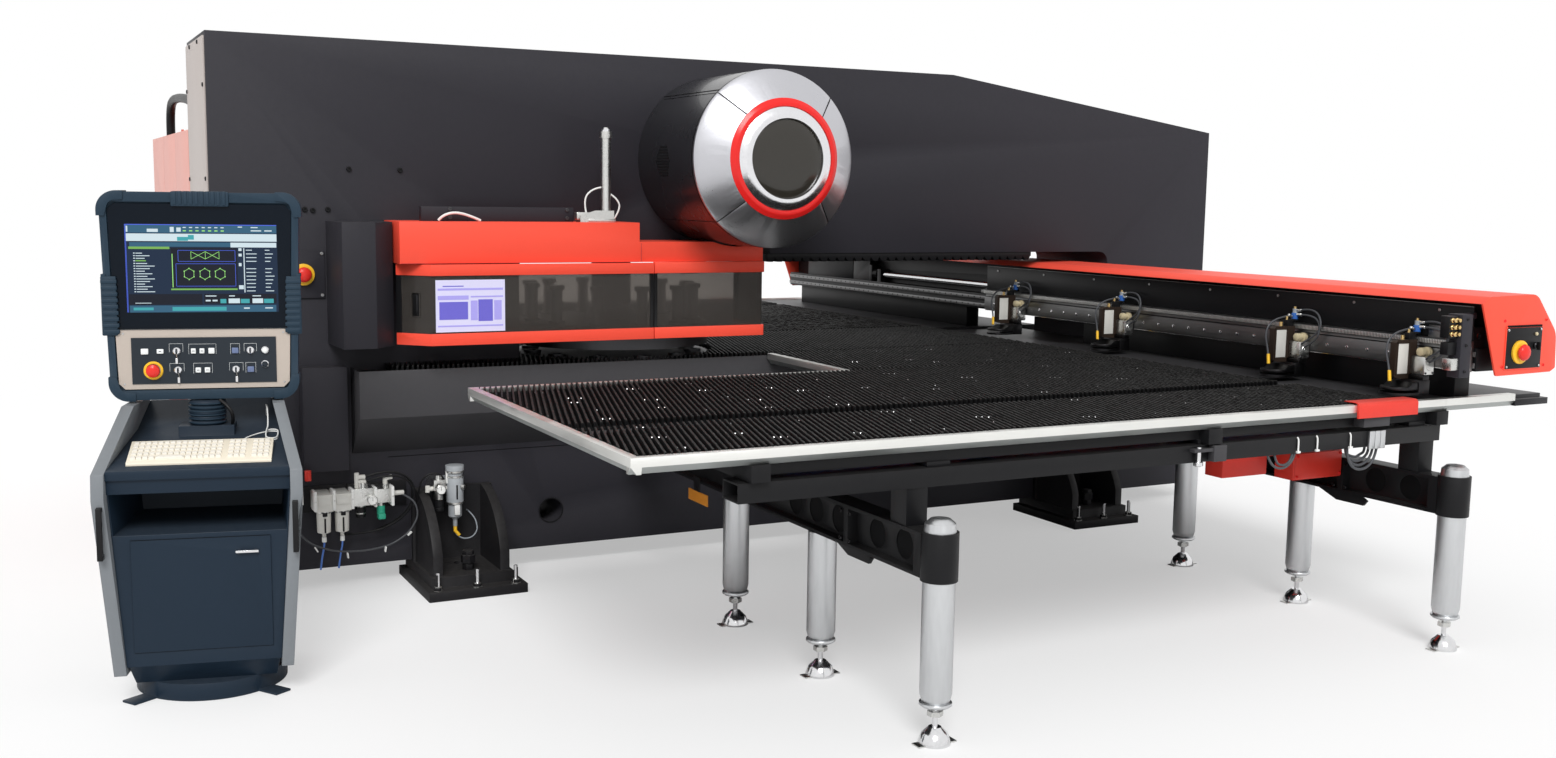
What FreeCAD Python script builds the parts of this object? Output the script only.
"""CNC turret punch press: bridge frame, turrets, carriage, brush tables and operator console.

Millimetres, +Z up.  X runs along the frame, +Y is the rear.  The origin is on the floor, under
the middle of the bridge frame and in the middle of its four anchored feet.
"""
import FreeCAD, Part
import math
import os

# ---------------------------------------------------------------- driving dimensions
# Bridge frame
frame_length = 5388.0
frame_thickness = 640.0
frame_height = 2355.0
frame_floor_gap = 90.0          # underside of the frame above the floor
slope_start_x = 932.0           # where the top edge starts to fall
slope_end_height = 2114.0
throat_left_x = -1390.0
throat_right_x = 1991.0
throat_top = 1443.0
throat_floor = 690.0
throat_corner = 60.0
lifting_hole_x = -1244.0
lifting_hole_height = 258.0
lifting_hole_radius = 55.0
end_plate_thickness = 8.0
end_plate_margin = 18.0

# Punching axis and drive
punch_x = -424.0
drive_height = 1884.0
drum_radius = 390.0
drum_wall = 8.0
drum_length = 614.0             # from the frame's face to the rim
face_cone_depth = 123.0
face_inner_radius = 244.0
trim_inner_radius = 209.0
bezel_inner_radius = 166.0
face_seam = 3.0
crank_radius = 60.0
crank_throw = 16.0
eccentric_radius = 70.0
rotor_radius = 240.0
rotor_length = 300.0
running_clearance = 0.08        # radial, shaft in bearing
ram_radius = 100.0
ram_stroke = 34.0
ram_length = 290.0
striker_radius = 34.0

# Turrets
table_height = 980.0            # brush tips: the line that the sheet slides on
station_radius = 400.0
turret_radius = 470.0
turret_gap = 10.0               # turret to the edge of the fixed table
turret_shaft_radius = 50.0
turret_boss_radius = 95.0
upper_turret_thickness = 110.0
lower_turret_thickness = 100.0
sheet_space = 28.0              # free height between brush tips and upper tools
station_count = 12
tool_radius = 32.0
tool_head_radius = 40.0
tool_height = 178.0             # tool head above the upper turret
die_radius = 42.0
die_bore_radius = 20.0

# Turret guard
guard_front_y = -600.0
guard_left_x = -1990.0
guard_chamfer_x = -1868.0
guard_chamfer_depth = 125.0
guard_split_x = -859.0
guard_right_x = -298.0
guard_top = 1596.0
guard_right_top = 1510.0
guard_step_x = -918.0
band_top = 1420.0
band_height = 50.0
guard_bottom = 1075.0
band_depth = 26.0
sheet_metal = 6.0
pane_thickness = 8.0
door_gap = 5.0

# Tables
table_front_y = -2912.0
table_left_x = -1886.0
table_right_x = 1952.0
table_tail_x = 2155.0
table_notch_y = -1231.0
table_notch_x = -220.0
centre_table_half = 500.0
centre_table_left = -2145.0
centre_brush_left = -2000.0
table_gap = 7.0                 # moving table to fixed table
runner_gap = 0.6                # table runners above the guides
brush_end_x = 1316.0
brush_height = 30.0
brush_pitch = 40.0
brush_slant = 22.0              # degrees between the bristle strips and Y
brush_base = 5.0
table_plate = 6.0
member_depth = 54.0
section_break_near = -2355.0
section_break_far = -2259.0
edge_profile_height = 50.0
edge_profile_width = 34.0
edge_flat = 28.0
joint_cover_left = 1281.0
joint_cover_right = 1539.0
cross_member = 65.0
member_rows = (-1463.0, -560.0, 351.0, 1100.0, 1535.0)   # members along Y, from the left
member_setback = 7.0            # long members behind the table's front edge
front_member_setback = 87.0     # front cross member behind the table's front edge
rear_member_setback = 99.0      # rear cross member ahead of the notch
member_half_width = 30.0

# Guide beams, arms and legs
guide_beam_front = -2880.0
guide_beam_width = 110.0
guide_beam_height = 62.0
guide_beam_top = 866.0
guide_beam_left = -1527.0
guide_beam_right = 1556.0
arm_positions = (-884.0, 1494.0)
arm_bottom = 535.0
arm_top = 680.0
arm_width = 90.0
arm_plate = 12.0
arm_hole_radius = 50.0
arm_joint_y = -2498.0
arm_holes = (-2815.0, -2645.0, -2388.0, -2221.0, -2064.0)
leg_rows = (-3010.0, -2259.0, -1550.0)
leg_radius = 52.5
leg_bottom = 122.0
leg_cap_height = 48.0
inner_rail_y = -720.0
inner_rail_height = 50.0
box_width = 250.0               # terminal boxes beside the right-hand arm
box_height = 116.0
tray_width = 150.0
tray_wall = 6.0

# Carriage and its beam
beam_front_x = 1576.0
beam_back_x = 1759.0
beam_rise = 110.0               # beam's underside above the brush tips
beam_height = 262.0
beam_front_y = -3005.0
beam_back_y = 2650.0
beam_wall = 10.0
cover_front_y = -3069.0
cover_back_y = 2690.0
cover_wall = 8.0
cover_overhang = 68.0           # cover ahead of the beam's rails
cover_depth = 199.0             # cover behind the beam
cover_rise = 38.0               # cover above the beam
rail_gap = 0.6                  # carriage block to guide rail
carriage_length = 3205.0
carriage_face_x = 1546.0
clamp_rows = (-130.0, -1015.0, -2150.0, -2785.0)
clamp_width = 124.0
clamp_slide_gap = 0.6           # clamp to the strip that it slides on
clamp_reach = 205.0             # jaw tip to the carriage face
clamp_clearance = 4.0           # lower jaw above the brush tips
jaw_thickness = 10.0
jaw_mouth = 10.0
screw_radius = 20.0
screw_journal = 12.0
rail_rises = (22.0, 66.0)       # guide rails above the beam's underside
rail_half_height = 10.0
ledge_rise = 88.0               # ledge of the screw above the beam's underside
screw_rise = 48.0               # screw's middle above the ledge
screw_x = 1608.0
screw_motor_y = 1460.0
beam_wall_x = 1642.0

# Frame feet
foot_x = 1708.0
foot_half_width = 215.0
foot_front_y = -744.0
foot_plate = 40.0
foot_bracket_height = 330.0
anchor_hole_radius = 14.0
anchor_hole_y = -440.0

# Emergency stops
stop_head_radius = 32.0
stop_stem_radius = 15.0
stop_collar_radius = 44.0
stop_collar_height = 14.0
stop_proud = 7.0                # foot of the stop's head behind its collar
stop_plate = 10.0
frame_stop = (-2334.0, 1366.0)

# Air unit
air_y = -430.0
air_height = 366.0
filter_places = (-2291.0, -2215.0)
lubricator_x = -1725.0

# Cabinet at the rear left, on posts above the tables' path
cabinet_left_x = -2694.0
cabinet_front_y = 400.0
cabinet_length = 1730.0
cabinet_depth = 530.0
cabinet_drop = 370.0            # cabinet's top below the frame's
cabinet_table_gap = 64.0        # cabinet's floor above the brush tips
cabinet_wall = 12.0
cabinet_door_count = 3
cabinet_door_thickness = 22.0
cabinet_post = 90.0
cabinet_post_inset = 60.0       # posts in from the cabinet's front and back
cabinet_base = 40.0             # height of the frame under the cabinet
conduit_radius = 22.0

# Operator console, modelled facing -Y about its own middle, then turned and set in place
console_x = -2856.0
console_y = -1380.0
console_turn = -12.0
console_back = 250.0            # rear edge of body and side panels
console_front = -240.0          # cupboard front
console_panel = 40.0            # side panel thickness
console_toe_in = 45.0 / 530.0   # side panels draw together to the rear, per mm of depth
panel_levels = ((104.0, 288.0), (705.0, 330.0), (790.0, 330.0), (985.0, 287.0))   # height, half width
panel_edge = ((-250.0, 104.0), (-280.0, 705.0), (-272.0, 790.0), (-10.0, 980.0))
body_bottom = 130.0
shelf_bottom = 579.0
shelf_top = 720.0
desk_front = -262.0
desk_front_height = 800.0
desk_back = 130.0
desk_back_height = 880.0
rear_cover_height = 965.0
console_wall = 5.0
console_plate_radius = 250.0
neck_y = 95.0
neck_box_top = 898.0
neck_radius = 62.0
pendant_front = 60.0
pendant_depth = 95.0
pendant_bottom = 986.0
pendant_height = 726.0
pendant_top_half = 332.0
pendant_bottom_half = 313.0
pendant_corner = 66.0
glass_drop = 44.0               # glass below the pendant's top edge
glass_height = 429.0
keyboard_front = -222.0
keyboard_depth = 165.0
keyboard_width = 456.0
cord_radius = 2.5

# ---------------------------------------------------------------- values worked out from them
half_thickness = frame_thickness / 2
half_length = frame_length / 2
turret_x = punch_x - station_radius
rim_y = -(half_thickness + drum_length)
plate_top = table_height - brush_height
upper_turret_bottom = table_height + sheet_space
upper_turret_top = upper_turret_bottom + upper_turret_thickness
tool_top = upper_turret_top + tool_height
lower_turret_top = table_height - 16.0
lower_turret_bottom = lower_turret_top - lower_turret_thickness
striker_bottom = tool_top + ram_stroke + 2.0
window_bottom = guard_bottom + band_height
window_top = band_top - band_height
side_table_inner = centre_table_half + table_gap
beam_bottom = table_height + beam_rise
beam_top = beam_bottom + beam_height
beam_ledge = beam_bottom + ledge_rise
screw_height = beam_ledge + screw_rise
carriage_stop = (beam_back_x - 30, beam_bottom + 78)
cabinet_bottom = table_height + cabinet_table_gap
cabinet_height = frame_height - cabinet_drop
jaw_low = table_height + clamp_clearance
jaw_high = jaw_low + jaw_thickness + jaw_mouth
profile_top = table_height - 6.0
member_top = profile_top - edge_profile_height
guide_beam_bottom = guide_beam_top - guide_beam_height
guide_beam_back = guide_beam_front + guide_beam_width
inner_rail_top = arm_top + inner_rail_height
desk_slope = (desk_back_height - desk_front_height) / (desk_back - desk_front)
rear_slope = (rear_cover_height - desk_back_height) / (console_back - desk_back)
pendant_top = pendant_bottom + pendant_height
keyboard_back = keyboard_front + keyboard_depth
console_stop = (-168.0, pendant_top - glass_drop - glass_height - 146)


# ---------------------------------------------------------------- helpers
def vec(x, y, z):
    return FreeCAD.Vector(x, y, z)


def block(x_low, x_high, y_low, y_high, z_low, z_high):
    """Box between two corners."""
    return Part.makeBox(x_high - x_low, y_high - y_low, z_high - z_low, vec(x_low, y_low, z_low))


def rod(axis, centre, radius, low, high):
    """Cylinder along a named axis; centre gives the two other coordinates in X, Y, Z order."""
    a, b = centre
    if axis == "x":
        return Part.makeCylinder(radius, high - low, vec(low, a, b), vec(1, 0, 0))
    if axis == "y":
        return Part.makeCylinder(radius, high - low, vec(a, low, b), vec(0, 1, 0))
    return Part.makeCylinder(radius, high - low, vec(a, b, low), vec(0, 0, 1))


def place_point(plane, a, b, level):
    if plane == "xz":
        return vec(a, level, b)
    if plane == "yz":
        return vec(level, a, b)
    return vec(a, b, level)


def outline(points, plane, level):
    """Closed wire through (a, b) or (a, b, radius) corners; a radius rounds that corner."""
    count = len(points)
    entries = []
    for i, point in enumerate(points):
        here = place_point(plane, point[0], point[1], level)
        radius = point[2] if len(point) > 2 else 0.0
        if radius <= 0:
            entries.append((here, here, None))
            continue
        before = points[i - 1]
        after = points[(i + 1) % count]
        to_before = place_point(plane, before[0], before[1], level) - here
        to_after = place_point(plane, after[0], after[1], level) - here
        to_before.normalize()
        to_after.normalize()
        half = to_before.getAngle(to_after) / 2
        setback = radius / math.tan(half)
        middle = to_before + to_after
        middle.normalize()
        apex = here + middle * (radius / math.sin(half) - radius)
        entries.append((here + to_before * setback, here + to_after * setback, apex))
    edges = []
    for i, (start, end, apex) in enumerate(entries):
        if apex is not None:
            edges.append(Part.Arc(start, apex, end).toShape())
        following = entries[(i + 1) % count][0]
        if (following - end).Length > 1e-6:
            edges.append(Part.LineSegment(end, following).toShape())
    return Part.Wire(edges)


def prism(points, plane, low, high):
    """Extrude an outline square to its plane, from low to high."""
    face = Part.Face(outline(points, plane, low))
    step = {"xz": vec(0, high - low, 0), "yz": vec(high - low, 0, 0), "xy": vec(0, 0, high - low)}
    return face.extrude(step[plane])


def turned(profile, base, direction, angle=360.0, start=0.0):
    """Revolve (radius, height) points about a line through base along direction."""
    face = Part.Face(Part.makePolygon([vec(r, 0, h) for r, h in profile + profile[:1]]))
    solid = face.revolve(vec(0, 0, 0), vec(0, 0, 1), angle)
    solid.rotate(vec(0, 0, 0), vec(0, 0, 1), start)
    solid.Placement = FreeCAD.Placement(base, FreeCAD.Rotation(vec(0, 0, 1), direction)).multiply(
        solid.Placement
    )
    return solid


def join(shapes):
    shapes = list(shapes)
    if len(shapes) == 1:
        return shapes[0]
    return shapes[0].fuse(shapes[1:]).removeSplitter()


def group(shapes):
    return Part.makeCompound(list(shapes))


def to_rear(shape):
    """Copy mirrored through the frame's middle plane."""
    return shape.mirror(vec(0, 0, 0), vec(0, 1, 0))


def both_sides(shape):
    return group([shape, to_rear(shape)])


def tube_path(points, radius_share=0.45):
    """Straight runs joined by tangent arcs, each as large as its two runs allow."""
    corners = [vec(*point) for point in points]
    edges = []
    radii = []
    start = corners[0]
    for before, here, after in zip(corners, corners[1:], corners[2:]):
        back = before - here
        ahead = after - here
        shorter = min(back.Length, ahead.Length)
        turn = math.pi - back.getAngle(ahead)
        setback = radius_share * shorter
        radius = setback / math.tan(turn / 2)
        back.normalize()
        ahead.normalize()
        entry = here + back * setback
        leave = here + ahead * setback
        bisector = back + ahead
        bisector.normalize()
        apex = here + bisector * (radius / math.cos(turn / 2) - radius)
        edges.append(Part.LineSegment(start, entry).toShape())
        edges.append(Part.Arc(entry, apex, leave).toShape())
        radii.append(radius)
        start = leave
    edges.append(Part.LineSegment(start, corners[-1]).toShape())
    return Part.Wire(edges), radii


def tube(points, radius):
    """Round tube, solid, along a path of runs and tangent arcs."""
    path, radii = tube_path(points)
    first = vec(*points[1]) - vec(*points[0])
    circle = Part.Wire(Part.makeCircle(radius, vec(*points[0]), first))
    solid = path.makePipeShell([circle], True, False)
    expected = math.pi * radius ** 2 * path.Length
    print("tube length %.0f, least radius %.1f, volume ratio %.4f"
          % (path.Length, min(radii), abs(solid.Volume) / expected))
    return solid


def comb(x_low, x_high, y_low, y_high):
    """Brush field: bristle strips on a thin base, slanted so that their front ends point left."""
    base_top = plate_top + brush_base
    field = block(x_low, x_high, y_low, y_high, plate_top, table_height)
    slant = math.radians(brush_slant)
    reach = (y_high - y_low) / math.cos(slant) + brush_pitch
    drift = (y_high - y_low) * math.tan(slant)
    pitch = brush_pitch / math.cos(slant)
    strips = []
    for row in range(int((x_high - x_low + drift) / pitch)):
        left = x_low - drift + (row + 0.5) * pitch
        strip = prism([
            (-0.30 * brush_pitch, plate_top), (0.30 * brush_pitch, plate_top),
            (0.30 * brush_pitch, base_top), (0.12 * brush_pitch, table_height),
            (-0.12 * brush_pitch, table_height), (-0.30 * brush_pitch, base_top),
        ], "xz", -brush_pitch, reach)
        strip.rotate(vec(0, 0, 0), vec(0, 0, 1), -brush_slant)
        strip.translate(vec(left, y_low, 0))
        strips.append(strip.common(field))
    base = block(x_low, x_high, y_low, y_high, plate_top, base_top)
    return join([base] + [solid for strip in strips for solid in strip.Solids])


def save(name, shape):
    shape.exportStep("parts/" + name + ".step")
    print("%-24s solids %2d  faces %4d" % (name, len(shape.Solids), len(shape.Faces)))


# ---------------------------------------------------------------- bridge frame
def main_frame():
    """Welded bridge frame: sloped top, throat, ram guide, crank bearings and turret bosses."""
    side = [
        (-half_length, frame_floor_gap),
        (half_length, frame_floor_gap),
        (half_length, slope_end_height),
        (slope_start_x, frame_height),
        (-half_length, frame_height),
    ]
    throat = [
        (throat_left_x, throat_floor, throat_corner),
        (throat_right_x, throat_floor, throat_corner),
        (throat_right_x, throat_top, throat_corner),
        (throat_left_x, throat_top, throat_corner),
    ]
    frame = prism(side, "xz", -half_thickness, half_thickness)
    frame = frame.cut(prism(throat, "xz", -half_thickness - 1, half_thickness + 1))
    upper_boss = rod("z", (turret_x, 0), turret_boss_radius, upper_turret_top + 80, throat_top)
    lower_boss = rod("z", (turret_x, 0), turret_boss_radius, throat_floor, lower_turret_bottom - 60)
    frame = join([frame, upper_boss, lower_boss])
    shaft_bore = turret_shaft_radius + running_clearance
    chamber_floor = striker_bottom + 40 + ram_length + 8
    cuts = [
        rod("y", (lifting_hole_x, lifting_hole_height), lifting_hole_radius,
            -half_thickness - 1, half_thickness + 1),
        rod("z", (turret_x, 0), shaft_bore, upper_turret_top + 79, throat_top + 60),
        rod("z", (turret_x, 0), shaft_bore, throat_floor - 60, lower_turret_bottom - 59),
        rod("z", (punch_x, 0), ram_radius + running_clearance, throat_top - 1, chamber_floor + 1),
        block(punch_x - 180, punch_x + 180, -60, 60, chamber_floor, drive_height + 200),
        rod("y", (punch_x, drive_height), crank_radius + running_clearance,
            -half_thickness - 1, half_thickness + 1),
    ]
    for cut in cuts:
        frame = frame.cut(cut)
    return frame


def end_cover():
    """Pale sheet cover over the left end of the frame, its edges rounded."""
    y = half_thickness - end_plate_margin
    corners = [
        (-y, frame_floor_gap + end_plate_margin, 12),
        (y, frame_floor_gap + end_plate_margin, 12),
        (y, frame_height - end_plate_margin, 12),
        (-y, frame_height - end_plate_margin, 12),
    ]
    return prism(corners, "yz", -half_length - end_plate_thickness, -half_length)


def frame_foot():
    """One floor foot: base plate, carrying block, two curved gussets, jack bolt and anchors."""
    left = foot_x - foot_half_width
    right = foot_x + foot_half_width
    inner_y = -half_thickness + 120
    plate = block(left, right, foot_front_y, inner_y, 0, foot_plate)
    plate = plate.cut(rod("z", (foot_x, anchor_hole_y), anchor_hole_radius, -1, foot_plate + 1))
    step = block(left + 40, right - 30, foot_front_y + 70, -half_thickness, foot_plate, foot_plate + 45)
    step = step.cut(rod("z", (foot_x, anchor_hole_y), anchor_hole_radius + 14,
                        foot_plate - 1, foot_plate + 50))
    support = block(left + 40, right - 30, -half_thickness, inner_y, foot_plate, frame_floor_gap)
    top = foot_plate + 45
    back = block(left + 40, right - 30, -half_thickness - 24, -half_thickness, top,
                 top + foot_bracket_height)
    gussets = []
    for x in (left + 52, right - 84):
        front = foot_front_y + 95
        start = vec(x, -half_thickness - 24, top + foot_bracket_height)
        middle = vec(x, (front + start.y) / 2 - 55, top + foot_bracket_height * 0.72)
        end = vec(x, front, top + 82)
        edges = [
            Part.Arc(start, middle, end).toShape(),
            Part.LineSegment(end, vec(x, front, top)).toShape(),
            Part.LineSegment(vec(x, front, top), vec(x, start.y, top)).toShape(),
            Part.LineSegment(vec(x, start.y, top), start).toShape(),
        ]
        gussets.append(Part.Face(Part.Wire(edges)).extrude(vec(42, 0, 0)))
    body = join([plate, step, support, back] + gussets)
    jack_y = anchor_hole_y - 130
    hexagon = [(foot_x + 26 * math.cos(math.radians(a)), jack_y + 26 * math.sin(math.radians(a)))
               for a in range(0, 360, 60)]
    jack = join([prism(hexagon, "xy", top, top + 26), rod("z", (foot_x, jack_y), 15, top + 26, top + 60),
                 prism(hexagon, "xy", top + 60, top + 84)])
    anchors = []
    for offset in (-0.8, 0.0, 0.8):
        x = foot_x + offset * foot_half_width
        y = foot_front_y + 32
        anchors.append(join([rod("z", (x, y), 17, foot_plate, foot_plate + 16),
                             rod("z", (x, y), 8, foot_plate + 16, foot_plate + 70)]))
    return [body, jack] + anchors


def frame_feet():
    """The foot and its mirror images at the four corners of the frame."""
    feet = frame_foot()
    feet += [solid.mirror(vec(0, 0, 0), vec(1, 0, 0)) for solid in feet]
    feet += [to_rear(solid) for solid in feet]
    return group(feet)


def drive_housings():
    """Drum shells over the two drive motors and their stators; the rear shell has a domed end."""
    base = vec(punch_x, -half_thickness, drive_height)
    inner = drum_radius - drum_wall
    tube_wall = [(inner, 0), (drum_radius, 0), (drum_radius, drum_length), (inner, drum_length)]
    front = turned(tube_wall, base, vec(0, -1, 0))
    for quarter in range(4):
        groove = block(-2.5, 2.5, rim_y - 1, -half_thickness - 40, drum_radius - 3, drum_radius + 5)
        groove.rotate(vec(0, 0, 0), vec(0, 1, 0), 45 + 90 * quarter)
        groove.translate(vec(punch_x, 0, drive_height))
        front = front.cut(groove)
    dome = [
        (inner, 0), (drum_radius, 0), (drum_radius, drum_length),
        (face_inner_radius, drum_length + 60), (0, drum_length + 72),
        (0, drum_length + 60), (face_inner_radius, drum_length + 48), (inner, drum_length - 8),
    ]
    rear = turned(dome, vec(punch_x, half_thickness, drive_height), vec(0, 1, 0))
    stators = []
    for side in (-1, 1):
        low, high = sorted((side * (half_thickness + 120), side * (half_thickness + 120 + rotor_length)))
        ring = rod("y", (punch_x, drive_height), inner, low, high)
        stators.append(ring.cut(rod("y", (punch_x, drive_height), rotor_radius + 6, low - 1, high + 1)))
    return group([front, rear] + stators)


def housing_face_segments():
    """Four brushed segments that form the cone on the front of the drum."""
    profile = [
        (drum_radius - 2 * drum_wall, drum_length), (drum_radius, drum_length),
        (drum_radius, drum_length + 16), (drum_radius - 24, drum_length + 36),
        (face_inner_radius, drum_length + face_cone_depth),
        (face_inner_radius, drum_length + face_cone_depth - 12),
        (drum_radius - 30, drum_length + 24), (drum_radius - 2 * drum_wall, drum_length + 10),
    ]
    seam_angle = math.degrees(face_seam / drum_radius)
    base = vec(punch_x, -half_thickness, drive_height)
    segments = []
    for quarter in range(4):
        start = 45 + seam_angle / 2 + 90 * quarter
        segments.append(turned(profile, base, vec(0, -1, 0), 90 - seam_angle, start))
    return group(segments)


def housing_hub():
    """Red trim ring, bevelled bezel and the dark hub disc in the middle of the drum's face."""
    base = vec(punch_x, -half_thickness, drive_height)
    face = drum_length + face_cone_depth
    trim = turned([(trim_inner_radius, face - 30), (face_inner_radius, face - 30),
                   (face_inner_radius, face - 2), (face_inner_radius - 6, face + 4),
                   (trim_inner_radius, face + 4)], base, vec(0, -1, 0))
    bezel = turned([(bezel_inner_radius, face - 30), (trim_inner_radius, face - 30),
                    (trim_inner_radius, face), (trim_inner_radius - 15, face + 16),
                    (bezel_inner_radius + 10, face + 24), (bezel_inner_radius, face + 18)],
                   base, vec(0, -1, 0))
    disc = turned([(0, face - 30), (bezel_inner_radius, face - 30), (bezel_inner_radius, face + 12),
                   (bezel_inner_radius * 0.7, face + 19), (0, face + 22)], base, vec(0, -1, 0))
    return group([trim, bezel, disc])


# ---------------------------------------------------------------- drive train
def crankshaft():
    """Shaft through the frame with an eccentric at the ram and a motor rotor at each end."""
    end = half_thickness + 120 + rotor_length
    shaft = rod("y", (punch_x, drive_height), crank_radius, -end - 30, end + 30)
    eccentric = rod("y", (punch_x, drive_height + crank_throw), eccentric_radius, -40, 40)
    rotors = []
    for side in (-1, 1):
        low, high = sorted((side * (half_thickness + 120), side * end))
        rotors.append(rod("y", (punch_x, drive_height), rotor_radius, low, high))
    return join([shaft, eccentric] + rotors)


def ram():
    """Ram with its striker; the big end is open enough to clear the eccentric all round."""
    bore = eccentric_radius + crank_throw + ram_stroke + 4
    eye_height = drive_height + crank_throw
    top = striker_bottom + 40 + ram_length
    quill = rod("z", (punch_x, 0), ram_radius, striker_bottom + 40, top)
    striker = rod("z", (punch_x, 0), striker_radius, striker_bottom, striker_bottom + 40)
    neck = block(punch_x - 60, punch_x + 60, -40, 40, top, eye_height)
    eye = rod("y", (punch_x, eye_height), bore + 30, -40, 40)
    body = join([quill, striker, neck, eye])
    return body.cut(rod("y", (punch_x, eye_height), bore, -41, 41))


def station_places():
    for station in range(station_count):
        angle = 2 * math.pi * station / station_count
        yield turret_x + station_radius * math.cos(angle), station_radius * math.sin(angle)


def upper_turret():
    """Upper turret disc on its shaft, bored for the punches."""
    shaft_top = throat_top + 40
    profile = [
        (0, upper_turret_bottom), (turret_radius, upper_turret_bottom),
        (turret_radius, upper_turret_top - 12), (turret_radius - 12, upper_turret_top),
        (130, upper_turret_top), (110, upper_turret_top + 60),
        (turret_shaft_radius, upper_turret_top + 60), (turret_shaft_radius, shaft_top), (0, shaft_top),
    ]
    disc = turned(profile, vec(turret_x, 0, 0), vec(0, 0, 1))
    for x, y in station_places():
        disc = disc.cut(rod("z", (x, y), tool_radius, upper_turret_bottom - 1, upper_turret_top + 1))
    return disc


def punch_holders():
    """One punch assembly in every station, its guide flush with the turret's underside."""
    profile = [
        (0, upper_turret_bottom), (tool_radius, upper_turret_bottom), (tool_radius, upper_turret_top),
        (tool_head_radius, upper_turret_top), (tool_head_radius, upper_turret_top + 14),
        (tool_radius * 0.8, upper_turret_top + 14), (tool_radius * 0.8, tool_top - 22),
        (tool_head_radius - 4, tool_top - 22), (tool_head_radius - 4, tool_top), (0, tool_top),
    ]
    return group([turned(profile, vec(x, y, 0), vec(0, 0, 1)) for x, y in station_places()])


def lower_turret():
    """Lower turret disc with a raised die seat at every station."""
    shaft_bottom = throat_floor - 40
    profile = [
        (0, shaft_bottom), (turret_shaft_radius, shaft_bottom),
        (turret_shaft_radius, lower_turret_bottom - 40), (110, lower_turret_bottom - 40),
        (130, lower_turret_bottom), (turret_radius, lower_turret_bottom),
        (turret_radius, lower_turret_top), (0, lower_turret_top),
    ]
    disc = turned(profile, vec(turret_x, 0, 0), vec(0, 0, 1))
    seats = [rod("z", (x, y), die_radius, lower_turret_top, table_height - 4)
             for x, y in station_places()]
    disc = join([disc] + seats)
    for x, y in station_places():
        disc = disc.cut(rod("z", (x, y), die_bore_radius, lower_turret_bottom - 1, table_height))
    return disc


# ---------------------------------------------------------------- turret guard
def guard_plan(face_y, left_inset, depth, right_x, corner_x=None):
    """Plan of a strip along the guard's face: chamfered at the left, or returned at the right."""
    if corner_x is None:
        slope = guard_chamfer_depth / (guard_chamfer_x - guard_left_x)
        end_x = guard_left_x + left_inset
        end_y = face_y + (guard_chamfer_x - end_x) * slope
        return [
            (right_x, face_y), (guard_chamfer_x, face_y), (end_x, end_y),
            (end_x + depth * 0.7, end_y + depth * 0.7),
            (guard_chamfer_x + depth * 0.4, face_y + depth), (right_x, face_y + depth),
        ]
    back_y = -half_thickness - 12
    return [
        (guard_split_x + door_gap, face_y), (right_x, face_y, 14), (right_x, back_y),
        (right_x - depth, back_y), (right_x - depth, face_y + depth),
        (guard_split_x + door_gap, face_y + depth),
    ]


def turret_hood():
    """Fixed red hood over the turret, stepped down at the right and cut round the drum."""
    back = -half_thickness
    outer = prism([
        (guard_left_x, band_top), (guard_right_x, band_top), (guard_right_x, guard_right_top),
        (guard_step_x, guard_right_top), (guard_step_x, guard_top), (guard_left_x, guard_top),
    ], "xz", guard_front_y, back)
    inner = prism([
        (guard_left_x + sheet_metal, band_top - 1), (guard_right_x - sheet_metal, band_top - 1),
        (guard_right_x - sheet_metal, guard_right_top - sheet_metal),
        (guard_step_x - sheet_metal, guard_right_top - sheet_metal),
        (guard_step_x - sheet_metal, guard_top - sheet_metal),
        (guard_left_x + sheet_metal, guard_top - sheet_metal),
    ], "xz", guard_front_y + sheet_metal, back + 1)
    drum = rod("y", (punch_x, drive_height), drum_radius + 6, guard_front_y - 1, back + 1)
    return outer.cut(inner).cut(drum)


def guard_door():
    """Hinged door frame: two bands joined by uprights at the hinge and the free end."""
    face = guard_front_y - band_depth
    top = band_top - 3
    strip = guard_plan(face, 4, band_depth, guard_split_x)
    lower = prism(strip, "xy", guard_bottom, window_bottom)
    upper = prism(strip, "xy", window_top, top)
    stile = block(guard_split_x - 14, guard_split_x, face + 4, face + band_depth, window_bottom, window_top)
    end = guard_plan(face, 4, band_depth, guard_chamfer_x - 100)
    tail = [end[1], end[2], end[3], end[4]]
    side = prism(tail, "xy", window_bottom, window_top)
    keep = block(guard_left_x - 5, guard_left_x + 22, face - 5, 0, window_bottom, window_top)
    return join([lower, upper, stile, side.common(keep)])


def guard_door_window():
    """Smoked pane bent round the chamfer, with a finger pull on the chamfered part."""
    face = guard_front_y - band_depth + 8
    strip = guard_plan(face, 24, pane_thickness, guard_split_x - 14)
    pane = prism(strip, "xy", window_bottom, window_top)
    slope = math.degrees(math.atan2(guard_chamfer_depth, guard_chamfer_x - guard_left_x))
    middle_x = (guard_chamfer_x + guard_left_x) / 2 + 10
    middle_y = face + (guard_chamfer_x - middle_x) * math.tan(math.radians(slope))
    middle_z = (window_bottom + window_top) / 2
    cup = block(-24, 24, -3, pane_thickness + 14, -55, 55).cut(block(-18, 18, -4, 10, -49, 49))
    opening = block(-18, 18, -4, 10, -49, 49)
    for solid in (cup, opening):
        solid.rotate(vec(0, 0, 0), vec(0, 0, 1), -slope)
        solid.translate(vec(middle_x, middle_y, middle_z))
    return join([pane, cup]).cut(opening)


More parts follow.
